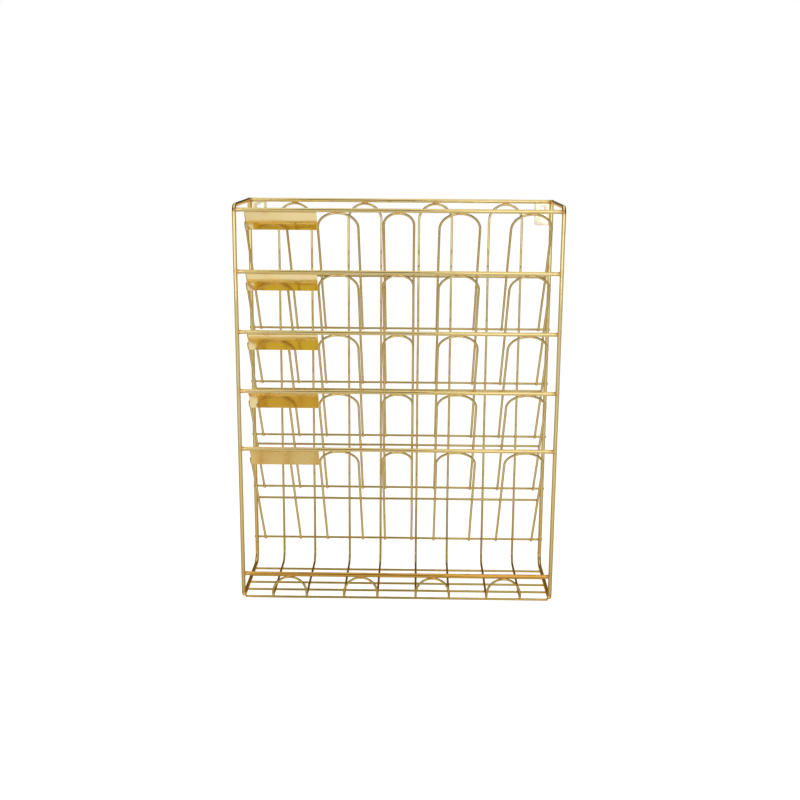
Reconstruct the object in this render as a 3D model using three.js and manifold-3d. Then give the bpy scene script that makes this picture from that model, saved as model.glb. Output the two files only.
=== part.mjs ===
// Wall magazine holder of gold-plated steel wire: five sloping pockets over a bottom bin,
// with a label plate on each pocket and two hanging tabs at the top corners.
// Millimetres, +Z up, +X to the viewer's right. The wall is the plane Y = 0 and the holder
// stands on its -Y side. The origin is midway between the two hanging holes.
import * as THREE from "three";
import { mergeVertices } from "three/addons/utils/BufferGeometryUtils.js";
import Module from "manifold-3d";

const wasm = await Module();
wasm.setup();

// Wire and sheet stock
const FRAME_WIRE = 4;
const MESH_WIRE = 2.4;
const LABEL_SHEET = 0.6;
const TAB_SHEET = 2;
// Space left at every welded contact
const WELD_GAP = 0.2;

// Frame of two side loops: distances between wire centres, radii of wire centres
const FRAME_DEPTH = 103;
const FRONT_BEND = 7;
const BACK_BEND = 12;

// Pockets: heights are between wire centres
const POCKET_COUNT = 5;
const POCKET_PITCH = 59.2;
const FIRST_RAIL_DROP = 4;
const WALL_DROP = 131;
const BIN_BACK_HEIGHT = 26.8;
const LIP_HEIGHT = 25;
// Part of the wall's slope at which its middle bar lies
const MID_BAR_SHARE = 0.535;
const FOOT_INSET = 0.8;
const BACK_BAR_OVERHANG = 1;

// Arches of a pocket wall, laid out from the middle of the holder outwards
const MIDDLE_ARCH_WIDTH = 29.4;
const INNER_ARCH_GAP = 24.6;
const ARCH_WIDTH = 39.3;
const OUTER_ARCH_GAP = 30;
const SIDE_MARGIN = 9.6;

// Upright loops: racetracks bent to a J, up the back, along the tray and up the front
const UPRIGHT_WIDTH = 34.4;
const UPRIGHT_OFFSET = 5;
const UPRIGHT_GAP = 38.6;
const UPRIGHT_FRONT_BEND = 3;

// Tray
const TRAY_BAR_COUNT = 5;
const TRAY_BACK_MARGIN = 22;

// Label plates
const LABEL_HEIGHT = 22;
const LABEL_CORNER = 2;
const LABEL_ROLL_HEIGHT = 9;

// Hanging tabs
const TAB_WIDTH = 17.5;
const TAB_HEIGHT = 24.5;
const TAB_CORNER = 3;
const HOLE_DIAMETER = 4.6;
const HOLE_DROP = 7.3;
const HOLE_INSET = 9.5;

// Facets of the round sections and of the bends
const FRAME_SIDES = 12;
const MESH_SIDES = 8;
const BEND_STEP = Math.PI / 10;
const HOLE_SIDES = 24;
const ROLL_STEPS = 10;

// Places of the wires, worked out from the sizes above
const frameRadius = FRAME_WIRE / 2;
const meshRadius = MESH_WIRE / 2;
const meshLap = MESH_WIRE + WELD_GAP;
const railLap = frameRadius + WELD_GAP + meshRadius;

const backBarY = -meshRadius;
const uprightY = backBarY - meshLap;
const postRearY = -meshLap;
const backY = postRearY - frameRadius;
const frontY = backY - FRAME_DEPTH;

const topZ = HOLE_DROP;
const firstRailZ = topZ - FIRST_RAIL_DROP;
const lastRailZ = firstRailZ - (POCKET_COUNT - 1) * POCKET_PITCH;
const bottomZ = lastRailZ - WALL_DROP - BIN_BACK_HEIGHT;
const lipZ = bottomZ + LIP_HEIGHT;
const trayBarZ = bottomZ - meshLap / 2;
const trayRunZ = bottomZ + meshLap / 2;

const innerArchStart = MIDDLE_ARCH_WIDTH / 2 + INNER_ARCH_GAP;
const outerArchStart = innerArchStart + ARCH_WIDTH + OUTER_ARCH_GAP;
const wallHalfWidth = outerArchStart + ARCH_WIDTH;
const sideX = wallHalfWidth + SIDE_MARGIN;
const railLength = 2 * (sideX - frameRadius - WELD_GAP);

// Each pocket wall leans back from its front rail until its legs pass in front of its back bar
const wallRun = backBarY - frontY;
const railToBar = Math.hypot(wallRun, WALL_DROP);
const wallLean = Math.atan2(wallRun, WALL_DROP) - Math.asin(meshLap / railToBar);
const wallLength = Math.sqrt(railToBar ** 2 - meshLap ** 2);

// Finishes: each piece has its own material
function platedWire() {
  return new THREE.MeshStandardMaterial({ color: 0xd6b06a, metalness: 1, roughness: 0.22 });
}

function polishedPlate() {
  return new THREE.MeshStandardMaterial({ color: 0xd8a93a, metalness: 1, roughness: 0.14 });
}

// A bent wire's centre line: straight runs joined by arcs, with one station where each run
// meets an arc and evenly turned stations on the arc. A corner is { point, bend }.
function bendStations(corners, closed) {
  const count = corners.length;
  const stations = [];
  const add = (point, tangent) => {
    const last = stations.at(-1);
    if (!last || last.point.distanceTo(point) > 1e-6) stations.push({ point, tangent });
  };
  corners.forEach((corner, index) => {
    const before = corners[(index + count - 1) % count].point;
    const after = corners[(index + 1) % count].point;
    const incoming = corner.point.clone().sub(before).normalize();
    const outgoing = after.clone().sub(corner.point).normalize();
    if (!closed && index === 0) return add(corner.point, outgoing);
    if (!closed && index === count - 1) return add(corner.point, incoming);
    const turn = incoming.angleTo(outgoing);
    const towards = outgoing.clone().addScaledVector(incoming, -Math.cos(turn)).normalize();
    const start = corner.point.clone().addScaledVector(incoming, -corner.bend * Math.tan(turn / 2));
    const steps = Math.ceil(turn / BEND_STEP - 1e-6);
    for (let step = 0; step <= steps; step += 1) {
      const angle = (turn * step) / steps;
      const point = start.clone();
      point.addScaledVector(incoming, corner.bend * Math.sin(angle));
      point.addScaledVector(towards, corner.bend * (1 - Math.cos(angle)));
      const tangent = incoming.clone().multiplyScalar(Math.cos(angle));
      tangent.addScaledVector(towards, Math.sin(angle));
      add(point, tangent);
    }
    return undefined;
  });
  if (closed && stations[0].point.distanceTo(stations.at(-1).point) < 1e-6) stations.pop();
  return stations;
}

// The centre line as a curve that is sampled exactly at its stations
class BentLine extends THREE.Curve {
  constructor(corners, closed = false) {
    super();
    this.stations = bendStations(corners, closed);
    this.segments = closed ? this.stations.length : this.stations.length - 1;
  }

  station(share) {
    return this.stations[Math.round(share * this.segments) % this.stations.length];
  }

  getPointAt(share) {
    return this.station(share).point.clone();
  }

  getTangentAt(share) {
    return this.station(share).tangent.clone();
  }
}

function corner(x, y, z, bend = 0) {
  return { point: new THREE.Vector3(x, y, z), bend };
}

// A wire with two cut ends
function openWire(corners, diameter, sides) {
  const extrudePath = new BentLine(corners);
  const section = new THREE.Shape().absarc(0, 0, diameter / 2, 0, 2 * Math.PI);
  return new THREE.ExtrudeGeometry(section, {
    steps: extrudePath.segments,
    extrudePath,
    bevelEnabled: false,
    curveSegments: sides / 2,
  });
}

// A wire welded end to end, so that its tube closes on itself
function closedWire(corners, diameter, sides) {
  const line = new BentLine(corners, true);
  return new THREE.TubeGeometry(line, line.segments, diameter / 2, sides, true);
}

function straightWire(length, diameter, sides) {
  const wire = new THREE.CylinderGeometry(diameter / 2, diameter / 2, length, sides);
  return wire.rotateZ(Math.PI / 2);
}

function addPiece(parent, name, geometry, material, place = [0, 0, 0]) {
  const piece = new THREE.Mesh(geometry, material);
  piece.name = name;
  piece.position.set(...place);
  parent.add(piece);
}

// Joining sheet outlines needs solids: these two turn a geometry into one and back
function toSolid(geometry) {
  const bare = geometry.clone();
  bare.deleteAttribute("normal");
  bare.deleteAttribute("uv");
  const merged = mergeVertices(bare, 1e-4);
  return new wasm.Manifold(new wasm.Mesh({
    numProp: 3,
    vertProperties: new Float32Array(merged.attributes.position.array),
    triVerts: new Uint32Array(merged.index.array),
  }));
}

function fromSolid(solid) {
  const mesh = solid.getMesh();
  const geometry = new THREE.BufferGeometry();
  geometry.setAttribute("position", new THREE.BufferAttribute(mesh.vertProperties, 3));
  geometry.setIndex(new THREE.BufferAttribute(mesh.triVerts, 1));
  geometry.computeVertexNormals();
  return geometry;
}

// Side loop: one wire from the top of the back post round to a butt weld behind the top run
function sideLoop(x) {
  return openWire([
    corner(x, backY, topZ + frameRadius),
    corner(x, backY, bottomZ, BACK_BEND),
    corner(x, frontY, bottomZ, FRONT_BEND),
    corner(x, frontY, topZ, FRONT_BEND),
    corner(x, backY - frameRadius - WELD_GAP, topZ),
  ], FRAME_WIRE, FRAME_SIDES);
}

// Upright loop: an arch under the top rail, legs down the back, a run along the tray,
// and an arch up the front that ends under the lip rail
function uprightLoop(left, right) {
  const archTop = topZ - railLap;
  const frontTop = lipZ - railLap;
  const archBend = UPRIGHT_WIDTH / 2;
  const frontArchBend = Math.min(archBend, frontTop - trayRunZ - UPRIGHT_FRONT_BEND);
  return closedWire([
    corner(left, uprightY, archTop, archBend),
    corner(right, uprightY, archTop, archBend),
    corner(right, uprightY, trayRunZ, BACK_BEND),
    corner(right, frontY, trayRunZ, UPRIGHT_FRONT_BEND),
    corner(right, frontY, frontTop, frontArchBend),
    corner(left, frontY, frontTop, frontArchBend),
    corner(left, frontY, trayRunZ, UPRIGHT_FRONT_BEND),
    corner(left, uprightY, trayRunZ, BACK_BEND),
  ], MESH_WIRE, MESH_SIDES);
}

// Arch of a pocket wall, in the wall's own frame: Z runs up the slope to the front rail
function pocketArch(left, right) {
  const bend = (right - left) / 2;
  const foot = FOOT_INSET - wallLength;
  return openWire([
    corner(left, 0, foot),
    corner(left, 0, -railLap, bend),
    corner(right, 0, -railLap, bend),
    corner(right, 0, foot),
  ], MESH_WIRE, MESH_SIDES);
}

// Label plate, in the wall's own frame: a flat sheet over the legs, with rounded corners on
// its right. Its left edge is rolled round the first leg, where that leg runs straight.
function labelPlate(firstLeg, lastLeg) {
  const rollInside = meshRadius + WELD_GAP;
  const rollOutside = rollInside + LABEL_SHEET;
  const top = -frameRadius - WELD_GAP;
  const bottom = top - LABEL_HEIGHT;
  const profile = new THREE.Shape();
  profile.moveTo(lastLeg, -rollOutside);
  profile.lineTo(lastLeg, -rollInside);
  profile.lineTo(firstLeg, -rollInside);
  profile.absarc(firstLeg, 0, rollInside, -Math.PI / 2, -1.5 * Math.PI, true);
  profile.lineTo(firstLeg, rollOutside);
  profile.absarc(firstLeg, 0, rollOutside, Math.PI / 2, 1.5 * Math.PI, false);
  const sheet = new THREE.ExtrudeGeometry(profile, {
    depth: LABEL_HEIGHT,
    bevelEnabled: false,
    curveSegments: ROLL_STEPS / 2,
  });
  sheet.translate(0, 0, bottom);

  // Outline of the plate, with room round the roll and beyond its straight edges
  const room = LABEL_SHEET;
  const left = firstLeg - rollOutside - room;
  const right = lastLeg - LABEL_CORNER;
  const outline = new THREE.Shape();
  outline.moveTo(left, bottom - room);
  outline.lineTo(left, top + room);
  outline.lineTo(firstLeg, top + room);
  outline.lineTo(right, top);
  outline.absarc(right, top - LABEL_CORNER, LABEL_CORNER, Math.PI / 2, 0, true);
  outline.absarc(right, bottom + LABEL_CORNER, LABEL_CORNER, 0, -Math.PI / 2, true);
  outline.lineTo(firstLeg, bottom - room);
  const outlineDepth = 2 * (rollOutside + room);
  const cutter = new THREE.ExtrudeGeometry(outline, {
    depth: outlineDepth,
    bevelEnabled: false,
    curveSegments: 3,
  });
  cutter.rotateX(Math.PI / 2);
  cutter.translate(0, outlineDepth / 2, 0);

  // Above the roll only the front of the sheet is left
  const openHeight = LABEL_HEIGHT - LABEL_ROLL_HEIGHT + room;
  const opening = new THREE.BoxGeometry(2 * rollOutside + room, 2 * rollInside + 2 * room, openHeight);
  opening.translate(firstLeg - room / 2, room, top + room - openHeight / 2);
  return fromSolid(toSolid(sheet).intersect(toSolid(cutter)).subtract(toSolid(opening)));
}

// Hanging tab: a corner plate lapped behind the post and the top rail; side is -1 or 1
function hangingTab(side) {
  const outer = side * sideX;
  const inner = side * (sideX - TAB_WIDTH);
  const bottom = topZ - TAB_HEIGHT;
  const plate = new THREE.Shape();
  plate.moveTo(outer, topZ);
  plate.lineTo(inner, topZ);
  plate.lineTo(inner, bottom + TAB_CORNER);
  plate.quadraticCurveTo(inner, bottom, inner + side * TAB_CORNER, bottom);
  plate.lineTo(outer, bottom);
  const hole = new THREE.Path();
  hole.absarc(side * (sideX - HOLE_INSET), topZ - HOLE_DROP, HOLE_DIAMETER / 2, 0, 2 * Math.PI);
  plate.holes.push(hole);
  const tab = new THREE.ExtrudeGeometry(plate, {
    depth: TAB_SHEET,
    bevelEnabled: false,
    curveSegments: HOLE_SIDES / 2,
  });
  return tab.rotateX(Math.PI / 2);
}

// One pocket wall: its arches, the bar behind them and the label plate on its left
function pocketWall(number) {
  const wall = new THREE.Group();
  wall.position.set(0, frontY, firstRailZ - (number - 1) * POCKET_PITCH);
  wall.rotation.x = wallLean;
  const starts = [
    -wallHalfWidth,
    -innerArchStart - ARCH_WIDTH,
    -MIDDLE_ARCH_WIDTH / 2,
    innerArchStart,
    outerArchStart,
  ];
  starts.forEach((start, index) => {
    const width = index === 2 ? MIDDLE_ARCH_WIDTH : ARCH_WIDTH;
    const arch = pocketArch(start, start + width);
    addPiece(wall, `pocket_${number}_arch_${index + 1}`, arch, platedWire());
  });
  const midBar = straightWire(2 * (wallHalfWidth + meshRadius), MESH_WIRE, MESH_SIDES);
  const midBarPlace = [0, meshLap, -wallLength * MID_BAR_SHARE];
  addPiece(wall, `pocket_${number}_mid_bar`, midBar, platedWire(), midBarPlace);
  addPiece(wall, `label_plate_${number}`, labelPlate(starts[0], starts[1]), polishedPlate());
  return wall;
}

const holder = new THREE.Group();

// Frame
addPiece(holder, "side_loop_left", sideLoop(-sideX), platedWire());
addPiece(holder, "side_loop_right", sideLoop(sideX), platedWire());
const frameRail = () => straightWire(railLength, FRAME_WIRE, FRAME_SIDES);
addPiece(holder, "top_back_rail", frameRail(), platedWire(), [0, backY, topZ]);
addPiece(holder, "tray_lip_rail", frameRail(), platedWire(), [0, frontY, lipZ]);

// Pockets, from the top: front rail, sloping wall and back bar
for (let number = 1; number <= POCKET_COUNT; number += 1) {
  const railZ = firstRailZ - (number - 1) * POCKET_PITCH;
  addPiece(holder, `front_rail_${number}`, frameRail(), platedWire(), [0, frontY, railZ]);
  holder.add(pocketWall(number));
  const backBarLength = 2 * (sideX + frameRadius + BACK_BAR_OVERHANG);
  const backBar = straightWire(backBarLength, MESH_WIRE, MESH_SIDES);
  addPiece(holder, `back_bar_${number}`, backBar, platedWire(), [0, backBarY, railZ - WALL_DROP]);
}

// Upright loops, two on each side of the middle
const innerUpright = MIDDLE_ARCH_WIDTH / 2 + UPRIGHT_OFFSET;
const outerUpright = innerUpright + UPRIGHT_WIDTH + UPRIGHT_GAP;
const uprightStarts = [
  -outerUpright - UPRIGHT_WIDTH,
  -innerUpright - UPRIGHT_WIDTH,
  innerUpright,
  outerUpright,
];
uprightStarts.forEach((start, index) => {
  const loop = uprightLoop(start, start + UPRIGHT_WIDTH);
  addPiece(holder, `upright_loop_${index + 1}`, loop, platedWire());
});

// Tray bars under the upright loops, the first where the loops turn up at the front
const firstTrayBarY = frontY + UPRIGHT_FRONT_BEND;
const trayBarPitch = (backY - TRAY_BACK_MARGIN - firstTrayBarY) / (TRAY_BAR_COUNT - 1);
for (let index = 0; index < TRAY_BAR_COUNT; index += 1) {
  const bar = straightWire(railLength, MESH_WIRE, MESH_SIDES);
  const place = [0, firstTrayBarY + index * trayBarPitch, trayBarZ];
  addPiece(holder, `tray_bar_${index + 1}`, bar, platedWire(), place);
}

// Hanging tabs
const tabY = postRearY + WELD_GAP + TAB_SHEET;
addPiece(holder, "hanging_tab_left", hangingTab(-1), polishedPlate(), [0, tabY, 0]);
addPiece(holder, "hanging_tab_right", hangingTab(1), polishedPlate(), [0, tabY, 0]);

export default holder;
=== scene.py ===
# Looks of a wall magazine holder of gold-plated wire: smooth bent wires, weld nuggets, polished
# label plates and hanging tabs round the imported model. Metres, in the frame of the model:
# +X to the viewer's right, the wall is the plane Y = 0 behind the holder, +Z up.
import math

import bmesh
import bpy
from mathutils import Matrix, Vector, kdtree, noise


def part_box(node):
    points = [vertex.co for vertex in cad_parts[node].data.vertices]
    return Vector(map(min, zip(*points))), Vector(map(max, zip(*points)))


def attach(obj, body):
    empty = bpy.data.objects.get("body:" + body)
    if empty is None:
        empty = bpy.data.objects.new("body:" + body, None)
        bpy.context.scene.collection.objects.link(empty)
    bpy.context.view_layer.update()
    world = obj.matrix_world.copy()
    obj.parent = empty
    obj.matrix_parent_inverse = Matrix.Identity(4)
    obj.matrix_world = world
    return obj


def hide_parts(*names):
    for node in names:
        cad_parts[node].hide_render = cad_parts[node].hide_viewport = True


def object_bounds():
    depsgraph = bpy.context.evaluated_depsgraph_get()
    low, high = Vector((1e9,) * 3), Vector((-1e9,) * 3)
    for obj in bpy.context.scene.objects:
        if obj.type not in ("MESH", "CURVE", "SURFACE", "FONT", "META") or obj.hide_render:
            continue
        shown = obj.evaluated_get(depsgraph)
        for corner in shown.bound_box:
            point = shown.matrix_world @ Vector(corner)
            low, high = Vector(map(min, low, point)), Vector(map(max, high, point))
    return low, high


MM = 0.001

# Bends and clearances of the wires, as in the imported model
WELD_GAP = 0.2 * MM
FRONT_BEND = 7 * MM
BACK_BEND = 12 * MM
UPRIGHT_FRONT_BEND = 3 * MM
FOOT_INSET = 0.8 * MM

# Weld nuggets: half lengths along the wire, across it and through the contact
CROSSING_NUGGET = (1.35 * MM, 1.35 * MM, 0.75 * MM)
TANGENT_NUGGET = (3.4 * MM, 0.95 * MM, 0.75 * MM)
COLLAR_SPREAD = 1.12
COLLAR_DEPTH = 0.9 * MM
NUGGET_LUMPS = 0.12
NUGGET_LUMP_SCALE = 1.7

# How far the heat of a weld has coloured the plating. At the front corners of the tray the reach
# is longer and also paints the orange of the gold wires mirrored in each other there: painted
# reflection
CROSSING_HEAT = 3.2 * MM
BUTT_HEAT = 4.5 * MM
TRAY_END_HEAT = 5 * MM
CORNER_HEAT_AND_REFLECTION = 10 * MM

# Label plates and hanging tabs
LABEL_SHEET = 0.6 * MM
LABEL_CORNER = 2 * MM
LABEL_TOP_CORNER = 0.6 * MM
LABEL_ROLL_HEIGHT = 9 * MM
LABEL_RISE = 0.7 * MM
LABEL_RIM = 0.14 * MM
TAB_CORNER = 3 * MM
TAB_RIM = 0.25 * MM
HOLE_RADIUS = 2.3 * MM
HOLE_INSET = 9.5 * MM
HOLE_DROP = 7.3 * MM

# Fineness of the meshes
FRAME_SIDES = 28
MESH_SIDES = 18
ARC_STEP = math.radians(5)
RUN_STEP = 5 * MM
CUT_ROUND = 0.35 * MM
CUT_ANGLES = (0, math.pi / 6, math.pi / 3, math.pi / 2)
NUGGET_SEGMENTS = 16
NUGGET_RINGS = 10
LABEL_COLUMNS = 60
LABEL_ROLL_COLUMNS = 12
LABEL_ROWS = 26
# How much closer together the rows of a plate lie near its edges, from 0 to 1
LABEL_CROWDING = 0.75
TAB_CORNER_STEPS = 6
TAB_RIM_STEPS = 2
HOLE_STEPS = 40
RIM_SEGMENTS = 2
SMOOTH_ANGLE = math.radians(40)
RIM_ANGLE = math.radians(60)

# Hand-made unevenness: the wires stray from straight by this much, over this length. Without the
# seed, Blender's noise vectors differ from run to run
STRAY_SEED = 1
STRAY = 0.22 * MM
STRAY_LENGTH = 55 * MM
PLATE_WAVE = 0.05 * MM
PLATE_WAVE_LENGTH = 24 * MM
# Step in the noise from one plate to the next, so that no two plates are alike
PLATE_APART = 0.1

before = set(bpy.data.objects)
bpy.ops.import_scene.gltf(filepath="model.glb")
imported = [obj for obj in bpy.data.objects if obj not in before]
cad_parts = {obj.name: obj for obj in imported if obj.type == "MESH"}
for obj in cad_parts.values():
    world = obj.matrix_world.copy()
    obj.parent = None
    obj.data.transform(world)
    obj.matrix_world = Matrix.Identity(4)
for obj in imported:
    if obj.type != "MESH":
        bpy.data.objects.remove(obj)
cad_low, cad_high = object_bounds()
noise.seed_set(STRAY_SEED)


def centre(node):
    low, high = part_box(node)
    return (low + high) / 2


def extent(node):
    low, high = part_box(node)
    return high - low


# Places of the wires, read off the frame
POCKETS = range(1, 6)
ARCHES = range(1, 6)
UPRIGHTS = range(1, 5)
TRAY_BARS = range(1, 6)
frame_radius = extent("front_rail_1").z / 2
mesh_radius = extent("back_bar_1").z / 2
mesh_lap = 2 * mesh_radius + WELD_GAP
rail_lap = frame_radius + WELD_GAP + mesh_radius
front_y = centre("front_rail_1").y
back_y = centre("top_back_rail").y
top_z = centre("top_back_rail").z
side_x = centre("side_loop_right").x
bottom_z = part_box("side_loop_right")[0].z + frame_radius
lip_z = centre("tray_lip_rail").z
back_bar_y = centre("back_bar_1").y
upright_y = back_bar_y - mesh_lap
tray_bar_z = centre("tray_bar_1").z
tray_run_z = tray_bar_z + mesh_lap
rail_z = {pocket: centre(f"front_rail_{pocket}").z for pocket in POCKETS}
back_bar_z = {pocket: centre(f"back_bar_{pocket}").z for pocket in POCKETS}

# A pocket wall leans back from its front rail until its legs pass in front of its back bar
wall_run = back_bar_y - front_y
wall_drop = rail_z[1] - back_bar_z[1]
rail_to_bar = math.hypot(wall_run, wall_drop)
wall_lean = math.atan2(wall_run, wall_drop) - math.asin(mesh_lap / rail_to_bar)
wall_length = math.sqrt(rail_to_bar**2 - mesh_lap**2)


def on_wall(pocket, x, depth, slope):
    """A point of a pocket wall: x across, depth behind its wires, slope down from the rail."""
    y = front_y + depth * math.cos(wall_lean) + slope * math.sin(wall_lean)
    z = rail_z[pocket] + depth * math.sin(wall_lean) - slope * math.cos(wall_lean)
    return Vector((x, y, z))


wall_normal = Vector((0, math.cos(wall_lean), math.sin(wall_lean)))
wall_down = Vector((0, math.sin(wall_lean), -math.cos(wall_lean)))
X, Y, Z = Vector((1, 0, 0)), Vector((0, 1, 0)), Vector((0, 0, 1))


def arch_legs(pocket, arch):
    low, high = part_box(f"pocket_{pocket}_arch_{arch}")
    return low.x + mesh_radius, high.x - mesh_radius


def upright_legs(number):
    low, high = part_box(f"upright_loop_{number}")
    return low.x + mesh_radius, high.x - mesh_radius


# The camera stands where the photograph's camera stood
CAMERA_PLACE = Vector((0.0175, -1.2014, 0.0713))
CAMERA_YAW = -0.0138
CAMERA_PITCH = 0.2274
CAMERA_ROLL = 0.0065
CAMERA_LENS = 51.05
CAMERA_SENSOR = 36


def add_camera():
    level = math.cos(CAMERA_PITCH)
    ahead = Vector((
        math.sin(CAMERA_YAW) * level,
        math.cos(CAMERA_YAW) * level,
        -math.sin(CAMERA_PITCH),
    ))
    flat_right = Vector((math.cos(CAMERA_YAW), -math.sin(CAMERA_YAW), 0))
    flat_up = flat_right.cross(ahead)
    right = math.cos(CAMERA_ROLL) * flat_right + math.sin(CAMERA_ROLL) * flat_up
    up = math.cos(CAMERA_ROLL) * flat_up - math.sin(CAMERA_ROLL) * flat_right
    data = bpy.data.cameras.new("camera")
    data.lens = CAMERA_LENS
    data.sensor_width = CAMERA_SENSOR
    camera = bpy.data.objects.new("camera", data)
    axes = Matrix((right, up, -ahead)).transposed().to_4x4()
    camera.matrix_world = Matrix.Translation(CAMERA_PLACE) @ axes
    bpy.context.scene.collection.objects.link(camera)
    bpy.context.scene.camera = camera


class Weld:
    """Where wires touch: the directions and radii of the nugget, and the reach of its heat."""

    def __init__(self, group, point, normal, along, radii, reach=CROSSING_HEAT):
        self.group = group
        self.reach = reach
        self.point = point
        self.normal = normal.normalized()
        self.along = along.normalized()
        self.radii = radii


def crossing(group, point, normal, along):
    """Nugget between two thin wires that cross."""
    return Weld(group, point, normal, along, CROSSING_NUGGET)


def tangent_weld(group, point, normal):
    """Long nugget where an arch runs along under a thick rail."""
    return Weld(group, point, normal, X, TANGENT_NUGGET)


def butt_weld(group, point, normal, along, radius, reach=BUTT_HEAT):
    """Collar where the end of a wire meets the side of another."""
    spread = radius * COLLAR_SPREAD
    return Weld(group, point, normal, along, (spread, spread, COLLAR_DEPTH), reach)


def pocket_welds(pocket):
    group = f"pocket_{pocket}"
    mid_slope = (centre(f"pocket_{pocket}_mid_bar") - on_wall(pocket, 0, 0, 0)).dot(wall_down)
    welds = []
    for arch in ARCHES:
        left, right = arch_legs(pocket, arch)
        top = on_wall(pocket, (left + right) / 2, 0, frame_radius + WELD_GAP / 2)
        welds.append(tangent_weld(group, top, wall_down))
        for x in (left, right):
            for slope in (mid_slope, wall_length):
                point = on_wall(pocket, x, mesh_lap / 2, slope)
                welds.append(crossing(group, point, wall_normal, X))
    return welds


def upright_welds():
    welds = []
    for number in UPRIGHTS:
        left, right = upright_legs(number)
        middle = (left + right) / 2
        share = frame_radius / rail_lap
        rail_top = Vector((middle, back_y, top_z))
        arch_top = Vector((middle, upright_y, top_z - rail_lap))
        welds.append(tangent_weld("upright", rail_top.lerp(arch_top, share), arch_top - rail_top))
        lip = Vector((middle, front_y, lip_z - frame_radius - WELD_GAP / 2))
        welds.append(tangent_weld("upright", lip, Z))
        for x in (left, right):
            for pocket in POCKETS:
                point = Vector((x, (upright_y + back_bar_y) / 2, back_bar_z[pocket]))
                welds.append(crossing("upright", point, Y, X))
            for bar in TRAY_BARS:
                point = Vector((x, centre(f"tray_bar_{bar}").y, (tray_bar_z + tray_run_z) / 2))
                welds.append(crossing("upright", point, Z, X))
    return welds


def frame_welds():
    welds = []
    rail_ends = [Vector((0, back_y, top_z)), Vector((0, front_y, lip_z))]
    rail_ends += [Vector((0, front_y, rail_z[pocket])) for pocket in POCKETS]
    for side in (-1, 1):
        inside = side * (side_x - frame_radius - WELD_GAP / 2)
        for end in rail_ends:
            point = Vector((inside, end.y, end.z))
            welds.append(butt_weld("frame", point, X, Y, frame_radius))
        for bar in TRAY_BARS:
            point = Vector((inside, centre(f"tray_bar_{bar}").y, tray_bar_z))
            # The heat reaches further at the front corners, which partly paints the orange of the wires
            # mirrored in each other there: painted reflection
            reach = CORNER_HEAT_AND_REFLECTION if bar == TRAY_BARS[0] else TRAY_END_HEAT
            welds.append(butt_weld("frame", point, X, Y, mesh_radius, reach))
        for pocket in POCKETS:
            contact_y = back_bar_y - mesh_radius - WELD_GAP / 2
            point = Vector((side * side_x, contact_y, back_bar_z[pocket]))
            welds.append(crossing("frame", point, Y, X))
        seam = Vector((side * side_x, back_y - frame_radius - WELD_GAP / 2, top_z))
        welds.append(butt_weld("frame", seam, Y, X, frame_radius))
    return welds


welds = frame_welds() + upright_welds()
for pocket in POCKETS:
    welds += pocket_welds(pocket)
weld_tree = kdtree.KDTree(len(welds))
for index, weld in enumerate(welds):
    weld_tree.insert(weld.point, index)
weld_tree.balance()


def heat_at(point):
    """How much the plating is coloured by the nearest weld, from 0 to 1."""
    _, index, distance = weld_tree.find(point)
    return math.exp(-((distance / welds[index].reach) ** 2))


def inside_box(point, margin, allowed):
    """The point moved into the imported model's box less a margin, or as far out as allowed."""
    kept = point.copy()
    for axis in range(3):
        low = min(cad_low[axis] + margin, allowed[axis])
        high = max(cad_high[axis] - margin, allowed[axis])
        kept[axis] = min(max(kept[axis], low), high)
    return kept


def strayed(point, radius):
    """Where a wire's centre line really runs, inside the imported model's box."""
    shift = noise.noise_vector(point / STRAY_LENGTH) * STRAY
    return inside_box(point + shift, radius, point)


def bent_line(corners, closed=False):
    """Points on straight runs joined by arcs. A corner is a point and a bend radius."""
    count = len(corners)
    line = []
    for index, (point, bend) in enumerate(corners):
        if not closed and index in (0, count - 1):
            line.append(point)
            continue
        incoming = (point - corners[index - 1][0]).normalized()
        outgoing = (corners[(index + 1) % count][0] - point).normalized()
        turn = incoming.angle(outgoing)
        towards = (outgoing - incoming * math.cos(turn)).normalized()
        start = point - incoming * bend * math.tan(turn / 2)
        steps = math.ceil(turn / ARC_STEP)
        for step in range(steps + 1):
            angle = turn * step / steps
            on_arc = incoming * math.sin(angle) + towards * (1 - math.cos(angle))
            line.append(start + on_arc * bend)
    if closed:
        line.append(line[0])
    points = []
    for start, end in zip(line, line[1:]):
        length = (end - start).length
        if length < WELD_GAP / 10:
            continue
        steps = math.ceil(length / RUN_STEP)
        points += [start.lerp(end, step / steps) for step in range(steps)]
    if not closed:
        points.append(line[-1])
    return points


def transported_frames(points, closed):
    """A tangent and two cross directions at each point, without twist between neighbours."""
    count = len(points)
    tangents = []
    for index in range(count):
        before = points[index - 1] if closed or index > 0 else points[0]
        after = points[(index + 1) % count] if closed or index < count - 1 else points[-1]
        tangents.append((after - before).normalized())
    across = tangents[0].cross(X if abs(tangents[0].x) < 0.9 else Z).normalized()
    firsts = [across]
    for index in range(1, count):
        turn = tangents[index - 1].rotation_difference(tangents[index])
        across = turn @ across
        firsts.append((across - tangents[index] * across.dot(tangents[index])).normalized())
    if closed:
        turn = tangents[-1].rotation_difference(tangents[0])
        last = turn @ firsts[-1]
        twist = math.atan2(last.cross(firsts[0]).dot(tangents[0]), last.dot(firsts[0]))
        for index in range(count):
            spin = Matrix.Rotation(twist * index / count, 3, tangents[index])
            firsts[index] = spin @ firsts[index]
    return [(t, a, t.cross(a)) for t, a in zip(tangents, firsts)]


def add_object(name, mesh, material, nodes=()):
    piece = bpy.data.objects.new(name, mesh)
    bpy.context.scene.collection.objects.link(piece)
    mesh.materials.clear()
    mesh.materials.append(material)
    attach(piece, "root")
    if nodes:
        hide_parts(*nodes)
    return piece


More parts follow.
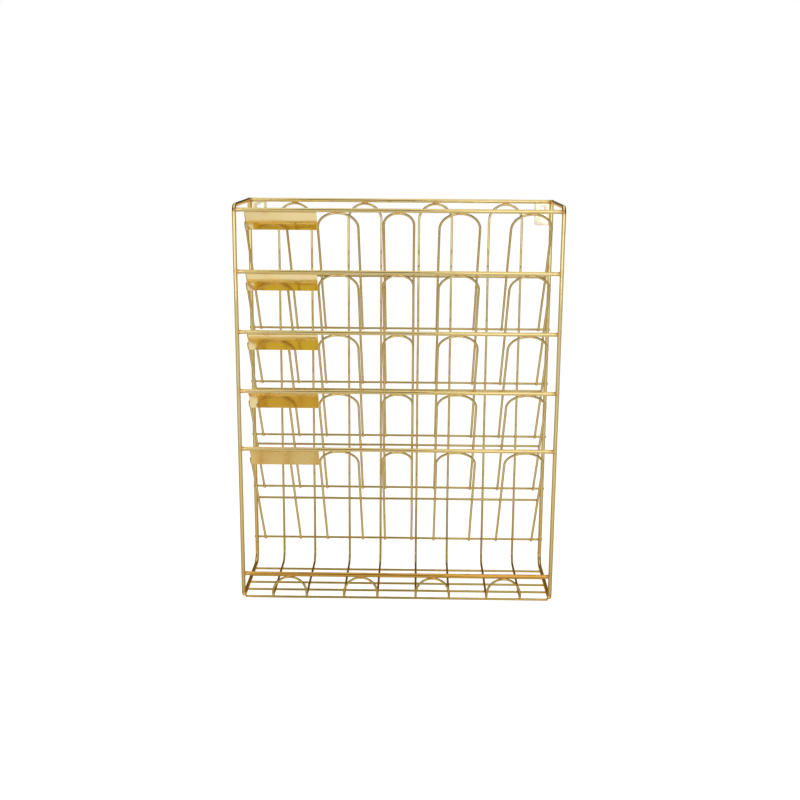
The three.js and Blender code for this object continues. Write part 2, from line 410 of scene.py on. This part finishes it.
def finish_mesh(name, work):
    """The bmesh as a mesh with outward faces, smooth apart from its sharp edges, and the
    colouring of the plating near welds on each point."""
    bmesh.ops.recalc_face_normals(work, faces=work.faces)
    for face in work.faces:
        face.smooth = True
    for edge in work.edges:
        if len(edge.link_faces) == 2 and edge.calc_face_angle() > SMOOTH_ANGLE:
            edge.smooth = False
    heat = work.verts.layers.float.get("weld_heat") or work.verts.layers.float.new("weld_heat")
    for vertex in work.verts:
        if vertex[heat] == 0:
            vertex[heat] = heat_at(vertex.co)
    mesh = bpy.data.meshes.new(name)
    work.to_mesh(mesh)
    work.free()
    return mesh


def wire_plating(node, radius):
    """The plating of a wire: one for thick wires, one for thin ones, and two darker copies that paint
    shade: one on the lip rail, one on the bars.
    """
    if node == "tray_lip_rail":
        return shaded_lip_plating
    if "_bar" in node:
        return bar_plating
    return frame_plating if radius == frame_radius else mesh_plating


def round_cut_ends(rings, radius):
    """Gives the first and the last of a wire's rings a rounded edge."""
    for end, sign in ((0, -1), (-1, 1)):
        point, axes, _ = rings[end]
        inner = point - axes[0] * sign * CUT_ROUND
        cut = []
        for angle in CUT_ANGLES:
            outward = axes[0] * sign * CUT_ROUND * math.sin(angle)
            narrowed = radius - CUT_ROUND * (1 - math.cos(angle))
            cut.append((inner + outward, axes, narrowed))
        if sign < 0:
            rings[0:1] = reversed(cut)
        else:
            rings[-1:] = cut


def swept_tube(rings, sides, closed):
    """A tube through the rings, which are points with their axes and radii. Its UVs are the
    share around it and the length along it."""
    work = bmesh.new()
    uv = work.loops.layers.uv.new("around_and_along")
    loops = []
    lengths = [0]
    for index, (point, (_, first, second), ring_radius) in enumerate(rings):
        ring = []
        for side in range(sides):
            angle = 2 * math.pi * side / sides
            offset = first * math.cos(angle) + second * math.sin(angle)
            ring.append(work.verts.new(point + offset * ring_radius))
        loops.append(ring)
        if index:
            lengths.append(lengths[-1] + (point - rings[index - 1][0]).length)
    spans = list(zip(loops, loops[1:], lengths, lengths[1:]))
    if closed:
        closing = (rings[0][0] - rings[-1][0]).length
        spans.append((loops[-1], loops[0], lengths[-1], lengths[-1] + closing))
    for lower, upper, start, end in spans:
        for side in range(sides):
            after = (side + 1) % sides
            face = work.faces.new((lower[side], lower[after], upper[after], upper[side]))
            around = (side / sides, (side + 1) / sides, (side + 1) / sides, side / sides)
            for loop, u, v in zip(face.loops, around, (start, start, end, end)):
                loop[uv].uv = (u, v)
    if not closed:
        work.faces.new(loops[0])
        work.faces.new(loops[-1])
    return work


def add_wire(node, corners, radius, sides, closed=False):
    """A swept round wire with rounded cut ends, which stands for one wire of the frame."""
    points = [strayed(point, radius) for point in bent_line(corners, closed)]
    frames = transported_frames(points, closed)
    rings = [(point, axes, radius) for point, axes in zip(points, frames)]
    if not closed:
        round_cut_ends(rings, radius)
    mesh = finish_mesh(node, swept_tube(rings, sides, closed))
    add_object(f"{node}_wire", mesh, wire_plating(node, radius), [node])


def add_straight_wire(node, radius, sides):
    """A straight wire along X in the place of its frame node."""
    low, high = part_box(node)
    middle = (low + high) / 2
    ends = [(Vector((x, middle.y, middle.z)), 0) for x in (low.x, high.x)]
    add_wire(node, ends, radius, sides)


def add_side_loop(node):
    x = centre(node).x
    add_wire(node, [
        (Vector((x, back_y, top_z + frame_radius)), 0),
        (Vector((x, back_y, bottom_z)), BACK_BEND),
        (Vector((x, front_y, bottom_z)), FRONT_BEND),
        (Vector((x, front_y, top_z)), FRONT_BEND),
        (Vector((x, back_y - frame_radius - WELD_GAP, top_z)), 0),
    ], frame_radius, FRAME_SIDES)


def add_upright(number):
    left, right = upright_legs(number)
    top = top_z - rail_lap
    front_top = lip_z - rail_lap
    bend = (right - left) / 2
    front_bend = min(bend, front_top - tray_run_z - UPRIGHT_FRONT_BEND)
    add_wire(f"upright_loop_{number}", [
        (Vector((left, upright_y, top)), bend),
        (Vector((right, upright_y, top)), bend),
        (Vector((right, upright_y, tray_run_z)), BACK_BEND),
        (Vector((right, front_y, tray_run_z)), UPRIGHT_FRONT_BEND),
        (Vector((right, front_y, front_top)), front_bend),
        (Vector((left, front_y, front_top)), front_bend),
        (Vector((left, front_y, tray_run_z)), UPRIGHT_FRONT_BEND),
        (Vector((left, upright_y, tray_run_z)), BACK_BEND),
    ], mesh_radius, MESH_SIDES, closed=True)


def add_arch(pocket, arch):
    left, right = arch_legs(pocket, arch)
    bend = (right - left) / 2
    foot = wall_length - FOOT_INSET
    add_wire(f"pocket_{pocket}_arch_{arch}", [
        (on_wall(pocket, left, 0, foot), 0),
        (on_wall(pocket, left, 0, rail_lap), bend),
        (on_wall(pocket, right, 0, rail_lap), bend),
        (on_wall(pocket, right, 0, foot), 0),
    ], mesh_radius, MESH_SIDES)


def add_welds(group):
    """The nuggets of one group as one piece of small lumpy lenses."""
    work = bmesh.new()
    heat = work.verts.layers.float.new("weld_heat")
    work.loops.layers.uv.new("around_and_along")
    for weld in (w for w in welds if w.group == group):
        across = weld.normal.cross(weld.along)
        made = bmesh.ops.create_uvsphere(
            work, u_segments=NUGGET_SEGMENTS, v_segments=NUGGET_RINGS, radius=1)
        for vertex in made["verts"]:
            lump = 1 + NUGGET_LUMPS * noise.noise(vertex.co * NUGGET_LUMP_SCALE + weld.point / MM)
            a, b, n = (c * r * lump for c, r in zip(vertex.co, weld.radii))
            lens = weld.point + weld.along * a + across * b + weld.normal * n
            vertex.co = inside_box(lens, 0, weld.point)
            vertex[heat] = 1
    plating = frame_plating if group == "frame" else mesh_plating
    add_object(f"{group}_welds", finish_mesh(group, work), plating)


def soften_rim(work, width):
    """Rounds the sharp edges of a sheet."""
    inner_edges = [edge for edge in work.edges if len(edge.link_faces) == 2]
    sharp = [edge for edge in inner_edges if edge.calc_face_angle() > RIM_ANGLE]
    bmesh.ops.bevel(work, geom=sharp, offset=width, segments=RIM_SEGMENTS, profile=0.5, affect="EDGES")


def label_slopes(height):
    """Where the rows of a plate lie, from 0 to its height, closer together near both edges."""
    slopes = []
    for row in range(LABEL_ROWS + 1):
        turn = 2 * math.pi * row / LABEL_ROWS
        slopes.append(height * (turn - LABEL_CROWDING * math.sin(turn)) / (2 * math.pi))
    return slopes


def add_label_plate(pocket):
    """A thin plate on the front of the legs, slightly wavy, with rounded right corners, the
    upper one small. Its left edge is rolled round the first leg along its lower part."""
    first_leg = arch_legs(pocket, 1)[0]
    right_edge = arch_legs(pocket, 2)[0]
    roll = mesh_radius + WELD_GAP + LABEL_SHEET / 2
    top = frame_radius + WELD_GAP - LABEL_RISE
    sheet_depth = LABEL_SHEET * math.sin(wall_lean)
    height = (extent(f"label_plate_{pocket}").z - sheet_depth) / math.cos(wall_lean) + LABEL_RISE
    slopes = label_slopes(height)
    roll_from = sum(1 for slope in slopes if slope < height - LABEL_ROLL_HEIGHT)

    def right_end(slope):
        corner = LABEL_TOP_CORNER if slope < height / 2 else LABEL_CORNER
        inset = corner - min(slope, height - slope, corner)
        return right_edge - corner + math.sqrt(corner**2 - inset**2)

    work = bmesh.new()
    work.loops.layers.uv.new("around_and_along")
    grid = {}
    for row, slope in enumerate(slopes):
        for column in range(-LABEL_ROLL_COLUMNS, LABEL_COLUMNS + 1):
            if column < 0 and row < roll_from:
                continue
            if column < 0:
                angle = math.pi * column / LABEL_ROLL_COLUMNS
                x = first_leg + roll * math.sin(angle)
                depth = -roll * math.cos(angle)
                wave = 0
            else:
                share = column / LABEL_COLUMNS
                x = first_leg + (right_end(slope) - first_leg) * share
                depth = -roll
                place = Vector((x, slope, pocket * PLATE_APART)) / PLATE_WAVE_LENGTH
                wave = PLATE_WAVE * noise.noise(place) * math.sin(math.pi * share)
            grid[row, column] = work.verts.new(on_wall(pocket, x, depth + wave, top + slope))
    for (row, column), vertex in grid.items():
        corners = [(row, column), (row, column + 1), (row + 1, column + 1), (row + 1, column)]
        if all(corner in grid for corner in corners):
            work.faces.new([grid[corner] for corner in corners])
    bmesh.ops.recalc_face_normals(work, faces=work.faces)
    name = f"label_plate_{pocket}"
    middle = centre(name)
    middle_face = min(work.faces, key=lambda face: (face.calc_center_median() - middle).length)
    if middle_face.normal.y > 0:
        bmesh.ops.reverse_faces(work, faces=work.faces)
    bmesh.ops.solidify(work, geom=work.faces, thickness=LABEL_SHEET)
    work.normal_update()
    soften_rim(work, LABEL_RIM)
    # The lowest plate gets a darker, warmer copy of the plating: painted shade
    plating = shaded_low_label_plating if pocket == POCKETS[-1] else label_plating
    add_object(f"{name}_sheet", finish_mesh(name, work), plating, [name])


def rounded_sheet(name, outlines, thickness, rim):
    """A flat sheet in the XY plane with rounded rims. The outlines are drawn a rim's width
    inside its edges."""
    curve = bpy.data.curves.new(name, "CURVE")
    curve.dimensions = "2D"
    curve.fill_mode = "BOTH"
    curve.extrude = thickness / 2 - rim
    curve.bevel_depth = rim
    curve.bevel_resolution = TAB_RIM_STEPS
    for points in outlines:
        spline = curve.splines.new("POLY")
        spline.points.add(len(points) - 1)
        for place, (x, y) in zip(spline.points, points):
            place.co = (x, y, 0, 1)
        spline.use_cyclic_u = True
    holder = bpy.data.objects.new(name, curve)
    mesh = bpy.data.meshes.new_from_object(holder)
    bpy.data.objects.remove(holder)
    work = bmesh.new()
    work.from_mesh(mesh)
    bpy.data.meshes.remove(mesh)
    bmesh.ops.remove_doubles(work, verts=work.verts, dist=rim / 50)
    return work


def add_tab(node):
    """A corner plate with rounded edges and a round screw hole."""
    low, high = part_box(node)
    side = 1 if low.x > 0 else -1
    outer, inner = (high.x, low.x) if side > 0 else (low.x, high.x)
    outline = [(outer - side * TAB_RIM, high.z - TAB_RIM), (inner + side * TAB_RIM, high.z - TAB_RIM)]
    for step in range(TAB_CORNER_STEPS + 1):
        angle = math.pi / 2 * step / TAB_CORNER_STEPS
        x = inner + side * (TAB_CORNER - (TAB_CORNER - TAB_RIM) * math.cos(angle))
        z = low.z + TAB_CORNER - (TAB_CORNER - TAB_RIM) * math.sin(angle)
        outline.append((x, z))
    outline.append((outer - side * TAB_RIM, low.z + TAB_RIM))
    hole_x = outer - side * HOLE_INSET
    hole_z = high.z - HOLE_DROP
    hole = []
    for step in range(HOLE_STEPS):
        angle = 2 * math.pi * step / HOLE_STEPS
        x = hole_x + (HOLE_RADIUS + TAB_RIM) * math.cos(angle)
        z = hole_z + (HOLE_RADIUS + TAB_RIM) * math.sin(angle)
        hole.append((x, z))
    work = rounded_sheet(node, (outline, hole), high.y - low.y, TAB_RIM)
    middle = (low.y + high.y) / 2
    for vertex in work.verts:
        vertex.co = Vector((vertex.co.x, middle + vertex.co.z, vertex.co.y))
    work.loops.layers.uv.new("around_and_along")
    add_object(f"{node}_plate", finish_mesh(node, work), reflection_tab_plating, [node])


# Materials. The plating is painted warmer and darker at the bottom of the holder than at its top,
# between these heights, for the gold wires of the tray mirrored in each other: painted
# reflection. It is orange at the welds
REFLECTION_WARM_FROM = -200 * MM
REFLECTION_WARM_TO = -400 * MM
EDGE_GOLD = (0.92, 0.72, 0.42, 1)
SPECK_GOLD = (0.62, 0.43, 0.17, 1)
HEATED_WIRE = (0.74, 0.42, 0.13, 1)
HEATED_SHEET = (0.74, 0.42, 0.10, 1)
RELIEF = 0.05 * MM
# Roughness of the wire, and what the heat of a weld and the cloudiness of a sheet add to it
WIRE_DULLNESS = (0.035, 0.085)
HEAT_DULLNESS = 0.16
CLOUD_DULLNESS = 0.04
# Scales of the fine lines: for the wire around and along it, for a sheet along X, Y and Z
DRAWING_LINES = (46, 60, 1)
POLISHING_LINES = (60, 2600, 2600)


class Nodes:
    """Short calls for building a node tree."""

    def __init__(self, tree):
        self.tree = tree
        self.tree.nodes.clear()

    def add(self, kind, values=None, **settings):
        node = self.tree.nodes.new(kind)
        for key, value in settings.items():
            setattr(node, key, value)
        for key, value in (values or {}).items():
            if isinstance(value, bpy.types.NodeSocket):
                self.tree.links.new(value, node.inputs[key])
            else:
                node.inputs[key].default_value = value
        return node

    def math(self, operation, first, second, clamp=False):
        node = self.add("ShaderNodeMath", {0: first, 1: second}, operation=operation, use_clamp=clamp)
        return node.outputs[0]

    def remap(self, value, low, high, out_low=0.0, out_high=1.0):
        """The value moved from the range low to high into the output range, kept inside it."""
        values = {
            "Value": value,
            "From Min": low,
            "From Max": high,
            "To Min": out_low,
            "To Max": out_high,
        }
        return self.add("ShaderNodeMapRange", values).outputs[0]

    def mix(self, factor, first, second):
        node = self.add("ShaderNodeMix", data_type="RGBA")
        for socket, value in ((0, factor), (6, first), (7, second)):
            if isinstance(value, bpy.types.NodeSocket):
                self.tree.links.new(value, node.inputs[socket])
            else:
                node.inputs[socket].default_value = value
        return node.outputs[2]

    def blend(self, factor, first, second):
        """The first number where the factor is 0 and the second where it is 1."""
        change = self.math("MULTIPLY", self.math("SUBTRACT", second, first), factor)
        return self.math("ADD", first, change)

    def noise(self, place, scale, detail=2.0, roughness=0.5):
        values = {"Vector": place, "Scale": scale, "Detail": detail, "Roughness": roughness}
        return self.add("ShaderNodeTexNoise", values).outputs["Fac"]

    def link(self, output, node, socket):
        self.tree.links.new(output, node.inputs[socket])


def new_material(name):
    material = bpy.data.materials.new(name)
    material.use_nodes = True
    return material, Nodes(material.node_tree)


def add_metal(nodes, gold, dull, relief, strength):
    """The shader and the output of a plated metal."""
    bump = nodes.add("ShaderNodeBump", {"Strength": strength, "Distance": RELIEF, "Height": relief})
    shader = nodes.add("ShaderNodeBsdfPrincipled", {
        "Base Color": gold,
        "Metallic": 1.0,
        "Specular Tint": EDGE_GOLD,
        "Roughness": dull,
        "Normal": bump.outputs[0],
    })
    output = nodes.add("ShaderNodeOutputMaterial")
    nodes.link(shader.outputs[0], output, "Surface")


def make_wire_plating(name, deep_gold, pale_gold, reflection_warm_gold):
    """Bright gold-coloured plating on drawn wire: warmer and paler stretches, fine drawing
    lines along the wire, small pits, an orange, duller bloom at the welds, and a painted
    reflection: warmer, darker gold towards the bottom of the holder."""
    material, nodes = new_material(name)
    place = nodes.add("ShaderNodeTexCoord").outputs["Object"]
    uv = nodes.add("ShaderNodeUVMap", uv_map="around_and_along").outputs["UV"]
    heat = nodes.add("ShaderNodeAttribute", attribute_name="weld_heat").outputs["Fac"]

    stretches = nodes.remap(nodes.noise(place, 14, 3), 0.35, 0.65)
    gold = nodes.mix(stretches, deep_gold, pale_gold)
    height = nodes.add("ShaderNodeSeparateXYZ", {0: place}).outputs[2]
    # Painted reflection: warmer, darker gold towards the bottom, for the tray's gold wires mirrored in
    # each other
    low_down = nodes.remap(height, REFLECTION_WARM_FROM, REFLECTION_WARM_TO)
    gold = nodes.mix(low_down, gold, reflection_warm_gold)
    specks = nodes.remap(nodes.noise(place, 420, 4, 0.6), 0.52, 0.72)
    gold = nodes.mix(nodes.math("MULTIPLY", specks, 0.35), gold, SPECK_GOLD)
    blotches = nodes.remap(nodes.noise(place, 600, 3), 0.3, 0.7, 0.25, 0.8)
    bloom = nodes.math("MULTIPLY", heat, blotches)
    gold = nodes.mix(bloom, gold, HEATED_WIRE)

    lines_place = nodes.add("ShaderNodeMapping", {"Vector": uv, "Scale": DRAWING_LINES}).outputs[0]
    lines = nodes.noise(lines_place, 1, 2)
    pits = nodes.noise(place, 700, 3, 0.65)
    dull = nodes.remap(nodes.noise(place, 60, 3), 0.3, 0.7, *WIRE_DULLNESS)
    dull = nodes.math("ADD", dull, nodes.math("MULTIPLY", heat, HEAT_DULLNESS))
    dull = nodes.math("ADD", dull, nodes.remap(lines, 0.3, 0.7, -0.02, 0.03))
    relief = nodes.math("ADD", nodes.math("MULTIPLY", lines, 0.35), nodes.math("MULTIPLY", pits, 0.5))
    swell = nodes.math("MULTIPLY", nodes.noise(place, 110, 1), 2.2)
    relief = nodes.math("ADD", relief, swell)
    add_metal(nodes, gold, dull, relief, 0.35)
    return material


def make_sheet_plating(name, gold, cloudy_gold, back_reflection_gold, dullness):
    """Gold-coloured sheet, polished or duller: faint polishing lines, soft clouds of a
    slightly different colour, and a deeper gold on the back, which paints the colour of gold
    mirrored in gold several times where the plates mirror each other: painted reflection."""
    material, nodes = new_material(name)
    place = nodes.add("ShaderNodeTexCoord").outputs["Object"]
    heat = nodes.add("ShaderNodeAttribute", attribute_name="weld_heat").outputs["Fac"]
    clouds = nodes.remap(nodes.noise(place, 45, 3), 0.35, 0.65)
    gold = nodes.mix(clouds, gold, cloudy_gold)
    # Painted reflection: the back of the sheet gets a deeper gold, for the colour of gold mirrored in
    # gold several times
    facing = nodes.add("ShaderNodeTexCoord").outputs["Normal"]
    backward = nodes.add("ShaderNodeVectorMath", {0: facing, 1: wall_normal}, operation="DOT_PRODUCT")
    gold = nodes.mix(nodes.remap(backward.outputs["Value"], 0.0, 0.3), gold, back_reflection_gold)
    gold = nodes.mix(nodes.math("MULTIPLY", heat, 0.5), gold, HEATED_SHEET)
    lines_place = nodes.add("ShaderNodeMapping", {"Vector": place, "Scale": POLISHING_LINES}).outputs[0]
    lines = nodes.noise(lines_place, 1, 2)
    dull = nodes.remap(clouds, 0, 1, dullness, dullness + CLOUD_DULLNESS)
    dull = nodes.math("ADD", dull, nodes.remap(lines, 0.3, 0.7, -0.01, 0.02))
    swell = nodes.noise(place, 60, 2)
    relief = nodes.math("ADD", nodes.math("MULTIPLY", lines, 0.04), nodes.math("MULTIPLY", swell, 0.8))
    add_metal(nodes, gold, dull, relief, 0.3)
    return material


# Studio. Metal mirrors bright walls up to eye level, dark walls above that, a bright patch
# overhead, and a floor that is bright right below the holder, with a softbox on each side of
# the camera. Brightness is a number where 1 is white.
FLOOR_DROP = 0.6
FLOOR_HALF = 12.0
FLOOR_WHITE = 0.82
FLOOR_GLOW = 0.55
WORLD_LIGHT = 0.62
# Where one part of the mirrored room gives way to the next. Heights are the Z of a direction of
# length 1, and the front, the back and the backdrop are its Y
WALLS_END = (0.24, 0.04)
WALLS_END_BEHIND = (0.0, 0.15)
OVERHEAD_START = (0.72, 0.86)
FRONT_START = (-0.4, -0.9)
BEHIND_START = (0.7, 0.9)
BACKDROP_START = (0.88, 0.95)
BACKDROP_END = (0.02, 0.0)
# Distances in metres from the middle of the floor: where its bright part ends, and where the
# part that looks like the walls starts
BELOW = (0.85, 0.35)
AWAY = (1.2, 2.2)
# Brightness of each part of the mirrored floor and room, and of all of it when mirrored twice
MIRRORED_BELOW = 0.94
MIRRORED_BETWEEN = 0.7
MIRRORED_FRONT = 0.84
MIRRORED_WALLS = 0.5
MIRRORED_BACKDROP = 0.75
MIRRORED_CEILING = 0.08
MIRRORED_OVERHEAD = 1.0
MIRRORED_TWICE = 0.73
# Place, width and height in metres and brightness of each lamp
SOFTBOXES = {
    "left_softbox": ((-0.66, -1.55, 0.45), 0.6, 1.7, 1.1),
    "right_softbox": ((0.385, -1.55, 0.45), 0.63, 1.7, 1.1),
    "back_light": ((0.0, 1.6, 1.5), 1.4, 0.8, 1.2),
}


def mirrored_room(nodes, direction):
    """What metal sees of the room in a direction: walls, brightest in front, that darken above
    eye level and soonest at the back, a bright patch overhead, and a bright backdrop straight
    behind the holder below eye level."""
    axes = nodes.add("ShaderNodeSeparateXYZ", {0: direction})
    ahead, height = axes.outputs[1], axes.outputs[2]
    walls = nodes.remap(height, *WALLS_END)
    dark_behind = nodes.remap(height, *WALLS_END_BEHIND)
    behind = nodes.math("MULTIPLY", nodes.remap(ahead, *BEHIND_START), dark_behind)
    walls = nodes.math("MULTIPLY", walls, nodes.math("SUBTRACT", 1.0, behind))
    in_front = nodes.remap(ahead, *FRONT_START, MIRRORED_WALLS, MIRRORED_FRONT)
    level = nodes.math("MULTIPLY", walls, nodes.math("SUBTRACT", in_front, MIRRORED_CEILING))
    level = nodes.math("ADD", level, MIRRORED_CEILING)
    overhead = nodes.remap(height, *OVERHEAD_START, 0.0, MIRRORED_OVERHEAD)
    level = nodes.math("MAXIMUM", level, overhead)
    low_down = nodes.remap(height, *BACKDROP_END)
    backdrop = nodes.math("MULTIPLY", nodes.remap(ahead, *BACKDROP_START), low_down)
    return nodes.math("MAXIMUM", level, nodes.math("MULTIPLY", backdrop, MIRRORED_BACKDROP))


def evened(nodes, path, level):
    """The level at the first reflection, and an even one after more reflections."""
    again = nodes.remap(path["Glossy Depth"], 1.0, 2.0)
    return nodes.blend(again, level, MIRRORED_TWICE)


def make_world():
    """White for the camera, soft light for what scatters it, and the mirrored room for metal."""
    world = bpy.data.worlds.new("studio")
    world.use_nodes = True
    bpy.context.scene.world = world
    nodes = Nodes(world.node_tree)
    path = nodes.add("ShaderNodeLightPath").outputs
    direction = nodes.add("ShaderNodeTexCoord").outputs["Generated"]
    straight = nodes.math("ADD", path["Is Camera Ray"], path["Is Transmission Ray"], clamp=True)
    room = evened(nodes, path, mirrored_room(nodes, direction))
    glossy = nodes.math("MULTIPLY", path["Is Glossy Ray"], room)
    unscattered = nodes.math("ADD", straight, path["Is Glossy Ray"], clamp=True)
    scattered = nodes.math("MULTIPLY", nodes.math("SUBTRACT", 1.0, unscattered), WORLD_LIGHT)
    strength = nodes.math("ADD", nodes.math("ADD", straight, glossy), scattered)
    background = nodes.add("ShaderNodeBackground", {"Color": (1, 1, 1, 1), "Strength": strength})
    output = nodes.add("ShaderNodeOutputWorld")
    nodes.link(background.outputs[0], output, "Surface")


def make_floor():
    """A plain white floor below the holder, which keeps the holder's soft shadow. Metal sees
    it bright below the holder, dimmer around that, and like the walls further off."""
    material, nodes = new_material("floor_white")
    path = nodes.add("ShaderNodeLightPath").outputs
    straight = nodes.math("ADD", path["Is Camera Ray"], path["Is Transmission Ray"], clamp=True)
    glow = nodes.math("MULTIPLY", straight, FLOOR_GLOW)
    colour = (FLOOR_WHITE, FLOOR_WHITE, FLOOR_WHITE, 1)
    white = nodes.add("ShaderNodeBsdfDiffuse", {"Color": colour})
    glowing = nodes.add("ShaderNodeEmission", {"Color": (1, 1, 1, 1), "Strength": glow})
    seen = nodes.add("ShaderNodeAddShader", {0: white.outputs[0], 1: glowing.outputs[0]})

    place = nodes.add("ShaderNodeTexCoord").outputs["Object"]
    flat = nodes.add("ShaderNodeVectorMath", {0: place, 1: (1, 1, 0)}, operation="MULTIPLY").outputs[0]
    distance = nodes.add("ShaderNodeVectorMath", {0: flat}, operation="LENGTH").outputs["Value"]
    below = nodes.remap(distance, *BELOW, 0.0, MIRRORED_BELOW)
    away = nodes.remap(distance, *AWAY, MIRRORED_BETWEEN, 1.0)
    direction = nodes.add("ShaderNodeVectorMath", {0: flat}, operation="NORMALIZE").outputs[0]
    away = nodes.math("MULTIPLY", away, mirrored_room(nodes, direction))
    level = evened(nodes, path, nodes.math("MAXIMUM", below, away))
    mirrored = nodes.add("ShaderNodeEmission", {"Color": (1, 1, 1, 1), "Strength": level})
    both = nodes.add("ShaderNodeMixShader", {
        0: path["Is Glossy Ray"],
        1: seen.outputs[0],
        2: mirrored.outputs[0],
    })
    output = nodes.add("ShaderNodeOutputMaterial")
    nodes.link(both.outputs[0], output, "Surface")

    height = cad_low.z - FLOOR_DROP
    mesh = bpy.data.meshes.new("floor")
    signs = [(-1, -1), (1, -1), (1, 1), (-1, 1)]
    corners = [(x * FLOOR_HALF, y * FLOOR_HALF, height) for x, y in signs]
    mesh.from_pydata(corners, [], [(0, 1, 2, 3)])
    mesh.materials.append(material)
    floor = bpy.data.objects.new("floor", mesh)
    bpy.context.scene.collection.objects.link(floor)


def add_softbox(name, place, width, height, brightness):
    """A rectangular lamp aimed at the middle of the holder, which looks as bright as said."""
    data = bpy.data.lights.new(name, "AREA")
    data.shape = "RECTANGLE"
    data.size = width
    data.size_y = height
    data.energy = brightness * math.pi * width * height
    lamp = bpy.data.objects.new(name, data)
    place = Vector(place)
    target = (cad_low + cad_high) / 2
    lamp.location = place
    lamp.rotation_euler = (target - place).to_track_quat("-Z", "Y").to_euler()
    lamp.visible_camera = False
    bpy.context.scene.collection.objects.link(lamp)


add_camera()
bpy.context.scene.view_settings.view_transform = "Standard"
make_world()
make_floor()
for name, (place, width, height, brightness) in SOFTBOXES.items():
    add_softbox(name, place, width, height, brightness)

# Plating of each kind of wire and sheet
frame_plating = make_wire_plating(
    "frame_plating", (0.79, 0.62, 0.25, 1), (0.81, 0.66, 0.31, 1), (0.80, 0.54, 0.15, 1))
mesh_plating = make_wire_plating(
    "mesh_plating", (0.74, 0.58, 0.25, 1), (0.76, 0.62, 0.30, 1), (0.58, 0.42, 0.10, 1))
# Painted shade: a darker, more orange copy of the thick-wire plating for the lip rail
shaded_lip_plating = make_wire_plating(
    "shaded_lip_plating", (0.68, 0.42, 0.10, 1), (0.71, 0.47, 0.14, 1), (0.64, 0.33, 0.05, 1))
# Painted shade: a darker, duller copy of the thin-wire plating for the back, middle and tray bars
bar_plating = make_wire_plating(
    "bar_plating", (0.54, 0.44, 0.18, 1), (0.56, 0.47, 0.22, 1), (0.47, 0.35, 0.09, 1))
label_plating = make_sheet_plating(
    "label_plating", (0.86, 0.69, 0.36, 1), (0.88, 0.70, 0.33, 1), (0.89, 0.70, 0.11, 1), 0.06)
# Painted shade: a darker, warmer copy of the label plating for the lowest plate
shaded_low_label_plating = make_sheet_plating(
    "shaded_low_label_plating", (0.72, 0.51, 0.18, 1), (0.77, 0.57, 0.23, 1), (0.87, 0.64, 0.14, 1), 0.17)
# Painted reflection: the tabs get a near-white gold, which stands for the bright light their flat
# fronts mirror
reflection_tab_plating = make_sheet_plating(
    "reflection_tab_plating", (0.94, 0.90, 0.70, 1), (0.95, 0.91, 0.74, 1), (0.92, 0.84, 0.58, 1), 0.2)

add_side_loop("side_loop_left")
add_side_loop("side_loop_right")
for node in ("top_back_rail", "tray_lip_rail"):
    add_straight_wire(node, frame_radius, FRAME_SIDES)
for pocket in POCKETS:
    add_straight_wire(f"front_rail_{pocket}", frame_radius, FRAME_SIDES)
    add_straight_wire(f"back_bar_{pocket}", mesh_radius, MESH_SIDES)
    add_straight_wire(f"pocket_{pocket}_mid_bar", mesh_radius, MESH_SIDES)
    for arch in ARCHES:
        add_arch(pocket, arch)
    add_label_plate(pocket)
    add_welds(f"pocket_{pocket}")
for number in UPRIGHTS:
    add_upright(number)
for bar in TRAY_BARS:
    add_straight_wire(f"tray_bar_{bar}", mesh_radius, MESH_SIDES)
add_welds("frame")
add_welds("upright")
add_tab("hanging_tab_left")
add_tab("hanging_tab_right")
